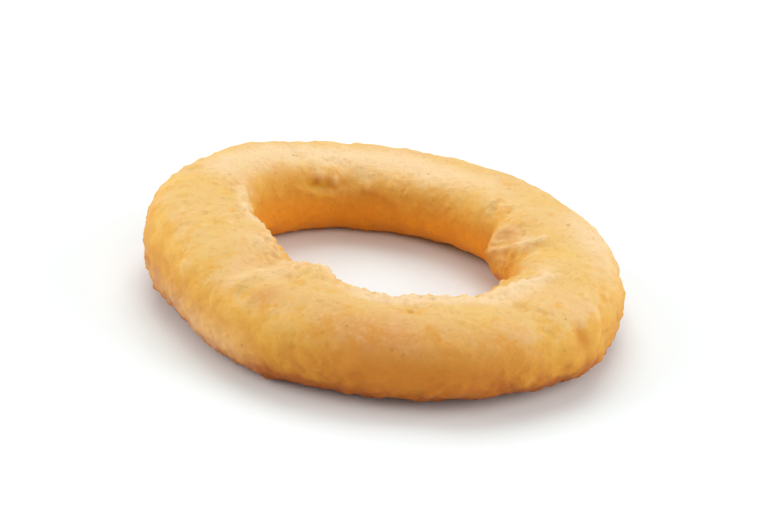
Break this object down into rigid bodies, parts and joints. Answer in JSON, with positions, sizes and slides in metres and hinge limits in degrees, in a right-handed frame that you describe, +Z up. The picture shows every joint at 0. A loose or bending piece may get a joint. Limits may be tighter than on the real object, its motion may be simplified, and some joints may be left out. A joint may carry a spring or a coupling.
{
  "type": "onion ring",
  "caption": "Battered and fried onion ring: an uneven, slightly oval ring of golden batter that lies flat on three broad feet.",
  "frame": {"origin": "under the middle of the ring's outline, on the surface that it rests on", "axes": "+Z up, through the hole; -Y is the side nearest to the viewer in the source view, +X to that viewer's right"},
  "size_m": [0.0704, 0.0682, 0.0157],
  "materials": {
    "fried_batter": "fried batter, matt to faintly oily"
  },
  "bodies": {
    "root": {"onion_ring": "fried_batter"}
  },
  "joints": []
}
